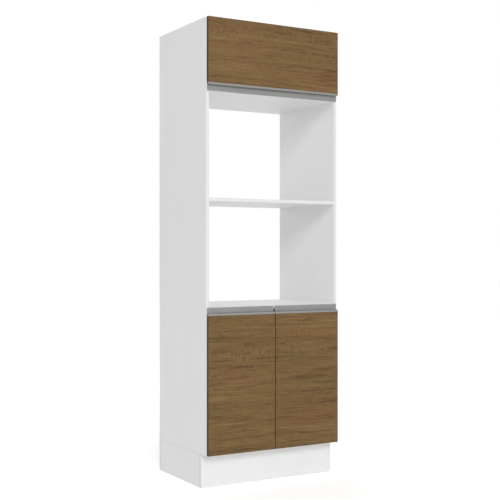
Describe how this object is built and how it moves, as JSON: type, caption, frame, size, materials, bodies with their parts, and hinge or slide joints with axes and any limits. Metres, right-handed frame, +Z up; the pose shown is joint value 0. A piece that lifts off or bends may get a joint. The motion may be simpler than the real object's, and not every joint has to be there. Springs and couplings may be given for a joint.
{
  "type": "double oven cabinet",
  "caption": "Tall kitchen cabinet with open niches for built-in ovens, a lift-up flap above them, hinged doors below and a recessed plinth.",
  "frame": {"origin": "on the floor, at the middle of the box that the closed cabinet fills", "axes": "+X to the right seen from the front, +Y to the back, so the front faces -Y, and +Z up"},
  "size_m": [0.7, 0.5066, 2.1],
  "materials": {
    "carcass_board": "smooth pale grey melamine facing",
    "front_wood": "brown wood grain facing, grain horizontal, satin",
    "hardboard": "painted hardboard, pale grey",
    "softwood": "bare planed wood",
    "handle_aluminium": "anodised, fine brushed, satin",
    "hinge_steel": "nickel plated",
    "stay_steel": "zinc plated",
    "fixing_steel": "zinc plated",
    "zinc": "die cast, dull",
    "white_plastic": "matt",
    "clear_rubber": "translucent, soft"
  },
  "bodies": {
    "carcass": {"back_nails": "fixing_steel", "back_panel_lower": "hardboard", "back_panel_upper": "hardboard", "bottom_panel": "carcass_board", "cam_bolts": "fixing_steel", "cam_caps": "white_plastic", "cam_discs": "zinc", "door_bumpers": "clear_rubber", "dowels": "softwood", "hinge_arm_screws": "fixing_steel", "hinge_arms": "hinge_steel", "hinge_plate_screws": "fixing_steel", "hinge_plates": "hinge_steel", "inner_shelf": "carcass_board", "niche_floor_panel": "carcass_board", "niche_roof_panel": "carcass_board", "oven_shelf": "carcass_board", "plinth_back": "carcass_board", "plinth_corner_blocks": "softwood", "plinth_front": "carcass_board", "plinth_screws": "fixing_steel", "plinth_side_left": "carcass_board", "plinth_side_right": "carcass_board", "shelf_pins": "hinge_steel", "side_panel_left": "carcass_board", "side_panel_right": "carcass_board", "stay_base_screws": "fixing_steel", "stay_bases": "stay_steel", "stay_nuts": "fixing_steel", "stay_washers": "fixing_steel", "top_panel": "carcass_board", "wall_bracket_screws": "fixing_steel", "wall_brackets": "hinge_steel"},
    "door_left": {"door_left_cup_screws": "fixing_steel", "door_left_handle": "handle_aluminium", "door_left_handle_screws": "fixing_steel", "door_left_hinge_cups": "hinge_steel", "door_left_hinge_pins": "hinge_steel", "door_left_panel": "front_wood"},
    "door_right": {"door_right_cup_screws": "fixing_steel", "door_right_handle": "handle_aluminium", "door_right_handle_screws": "fixing_steel", "door_right_hinge_cups": "hinge_steel", "door_right_hinge_pins": "hinge_steel", "door_right_panel": "front_wood"},
    "flap": {"flap_cup_screws": "fixing_steel", "flap_ear_rivets": "stay_steel", "flap_ear_screws": "fixing_steel", "flap_handle": "handle_aluminium", "flap_handle_screws": "fixing_steel", "flap_hinge_cups": "hinge_steel", "flap_hinge_pins": "hinge_steel", "flap_panel": "front_wood", "flap_stay_ears": "stay_steel"},
    "stay_lever_left": {"knee_rivet_left": "stay_steel", "stay_lever_left": "stay_steel"},
    "stay_lever_right": {"knee_rivet_right": "stay_steel", "stay_lever_right": "stay_steel"},
    "stay_link_left": {"stay_link_left": "stay_steel"},
    "stay_link_right": {"stay_link_right": "stay_steel"}
  },
  "joints": [
    {"name": "door_left_swing", "type": "hinge", "parent": "carcass", "child": "door_left", "pos_m": [-0.3411, -0.24825, 0.46275], "axis": [0, 0, -1], "range_deg": [0, 95]},
    {"name": "door_right_swing", "type": "hinge", "parent": "carcass", "child": "door_right", "pos_m": [0.3411, -0.24825, 0.46275], "axis": [0, 0, 1], "range_deg": [0, 95]},
    {"name": "flap_lift", "type": "hinge", "parent": "carcass", "child": "flap", "pos_m": [0, -0.24825, 2.0936], "axis": [-1, 0, 0], "range_deg": [0, 90]},
    {"name": "stay_lever_left_swing", "type": "hinge", "parent": "carcass", "child": "stay_lever_left", "pos_m": [-0.3208, -0.14175, 2.04], "axis": [-1, 0, 0], "range_deg": [0, 90]},
    {"name": "stay_link_left_swing", "type": "hinge", "parent": "stay_lever_left", "child": "stay_link_left", "pos_m": [-0.3178, -0.11775, 1.95], "axis": [-1, 0, 0], "range_deg": [-90, 0]},
    {"name": "stay_lever_right_swing", "type": "hinge", "parent": "carcass", "child": "stay_lever_right", "pos_m": [0.3208, -0.14175, 2.04], "axis": [-1, 0, 0], "range_deg": [0, 90]},
    {"name": "stay_link_right_swing", "type": "hinge", "parent": "stay_lever_right", "child": "stay_link_right", "pos_m": [0.3178, -0.11775, 1.95], "axis": [-1, 0, 0], "range_deg": [-90, 0]}
  ],
  "couplings": [
    {"joint": "stay_lever_left_swing", "follows": "flap_lift", "ratio": 1},
    {"joint": "stay_link_left_swing", "follows": "flap_lift", "ratio": -1},
    {"joint": "stay_lever_right_swing", "follows": "flap_lift", "ratio": 1},
    {"joint": "stay_link_right_swing", "follows": "flap_lift", "ratio": -1}
  ]
}
